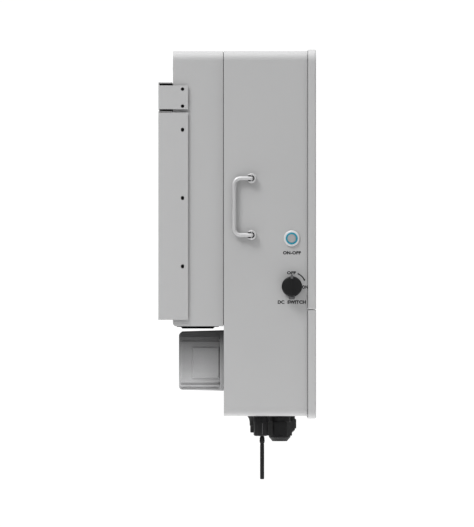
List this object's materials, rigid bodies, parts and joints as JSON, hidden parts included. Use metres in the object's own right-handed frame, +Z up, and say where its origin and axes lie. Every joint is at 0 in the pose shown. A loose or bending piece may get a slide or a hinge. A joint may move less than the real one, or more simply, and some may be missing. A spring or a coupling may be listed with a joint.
{
  "type": "string inverter",
  "caption": "Tall wall-hung string inverter with painted case, finned rear duct with fans, turning switch, press button, fold-out lift handles, cable glands and antenna.",
  "frame": {"origin": "centre of the wall bracket's four-bolt pattern, on the wall", "axes": "+Z up, the front cover faces -Y, +X is the inverter's right side seen from its front"},
  "size_m": [0.5705, 0.3844, 1.0479],
  "materials": {
    "painted_case": "satin",
    "painted_cover": "satin",
    "galvanised_steel": "satin",
    "bracket_paint": "satin",
    "dark_steel": "satin",
    "cast_aluminium": "rough",
    "fin_aluminium": "satin",
    "seal_rubber": "matte",
    "black_plastic": "matte",
    "knob_plastic": "satin",
    "grey_plastic": "matte",
    "cap_plastic": "satin",
    "light_ring": "gloss",
    "bezel_metal": "satin",
    "handle_metal": "satin",
    "window": "gloss",
    "status_green": "gloss",
    "steel_screw": "satin",
    "copper_coil": "satin",
    "board_green": "satin",
    "component_black": "satin",
    "terminal_green": "satin",
    "brass_stud": "satin"
  },
  "bodies": {
    "inverter": {"main_housing": "painted_case", "front_cover_upper": "painted_cover", "front_cover_lower": "painted_cover", "cover_seal_upper": "seal_rubber", "cover_seal_lower": "seal_rubber", "cover_screws": "steel_screw", "status_window": "window", "status_lights": "status_green", "shroud_seal": "seal_rubber", "heat_sink": "fin_aluminium", "rear_shroud": "painted_case", "fan_guards": "black_plastic", "inductor_box": "cast_aluminium", "inductor_box_screws": "steel_screw", "wall_bracket": "bracket_paint", "rear_frame": "bracket_paint", "hanger_bar": "dark_steel", "handle_bosses_left": "handle_metal", "handle_bosses_right": "handle_metal", "power_button_bezel": "bezel_metal", "power_button_light_ring": "light_ring", "power_button_switch": "component_black", "dc_switch_base": "grey_plastic", "dc_switch_body": "component_black", "large_gland_bodies": "black_plastic", "large_gland_caps": "black_plastic", "large_gland_inserts": "seal_rubber", "small_gland_bodies": "black_plastic", "small_gland_caps": "black_plastic", "pv_sockets_positive": "black_plastic", "pv_sockets_negative": "black_plastic", "module_nut": "black_plastic", "module_body": "black_plastic", "earth_stud": "brass_stud", "vent_plug": "black_plastic", "partition_plate": "galvanised_steel", "power_board": "board_green", "control_board": "board_green", "power_modules": "component_black", "dc_capacitors": "component_black", "output_relays": "component_black", "standoffs": "brass_stud", "ac_terminal_block": "terminal_green", "dc_terminal_block": "terminal_green", "surge_protectors": "grey_plastic", "fan_1_frame": "black_plastic", "inductor_coil_1": "copper_coil", "fan_2_frame": "black_plastic", "inductor_coil_2": "copper_coil", "fan_3_frame": "black_plastic", "inductor_coil_3": "copper_coil"},
    "dc_switch": {"dc_switch_knob": "knob_plastic"},
    "power_button": {"power_button_cap": "cap_plastic"},
    "fan_rotor_1": {"fan_1_rotor": "black_plastic"},
    "fan_rotor_2": {"fan_2_rotor": "black_plastic"},
    "fan_rotor_3": {"fan_3_rotor": "black_plastic"},
    "left_handle": {"handle_left": "handle_metal"},
    "right_handle": {"handle_right": "handle_metal"},
    "antenna_collar": {"antenna_base": "black_plastic"},
    "antenna_rod": {"antenna_whip": "black_plastic"}
  },
  "joints": [
    {"name": "dc_switch_turn", "type": "hinge", "parent": "inverter", "child": "dc_switch", "pos_m": [-0.265, -0.3254, -0.463], "axis": [1, 0, 0], "range_deg": [0, 90]},
    {"name": "power_button_press", "type": "slide", "parent": "inverter", "child": "power_button", "axis": [1, 0, 0], "range_m": [0, 0.0025], "stiffness_N_per_m": 400, "springref_m": -0.0005},
    {"name": "left_handle_fold", "type": "hinge", "parent": "inverter", "child": "left_handle", "pos_m": [-0.2735, -0.227, -0.269], "axis": [0, 0, 1], "range_deg": [0, 90]},
    {"name": "right_handle_fold", "type": "hinge", "parent": "inverter", "child": "right_handle", "pos_m": [0.2735, -0.227, -0.269], "axis": [0, 0, -1], "range_deg": [0, 90]},
    {"name": "antenna_turn", "type": "hinge", "parent": "inverter", "child": "antenna_collar", "pos_m": [-0.215, -0.253, -0.829], "axis": [0, 0, 1], "range_deg": [-180, 180]},
    {"name": "antenna_tilt", "type": "hinge", "parent": "antenna_collar", "child": "antenna_rod", "pos_m": [-0.215, -0.253, -0.839], "axis": [-1, 0, 0], "range_deg": [0, 90]},
    {"name": "fan_1_spin", "type": "hinge", "parent": "inverter", "child": "fan_rotor_1", "pos_m": [-0.14, -0.096, -0.546], "axis": [0, 0, 1], "continuous": true},
    {"name": "fan_2_spin", "type": "hinge", "parent": "inverter", "child": "fan_rotor_2", "pos_m": [0, -0.096, -0.546], "axis": [0, 0, 1], "continuous": true},
    {"name": "fan_3_spin", "type": "hinge", "parent": "inverter", "child": "fan_rotor_3", "pos_m": [0.14, -0.096, -0.546], "axis": [0, 0, 1], "continuous": true}
  ]
}
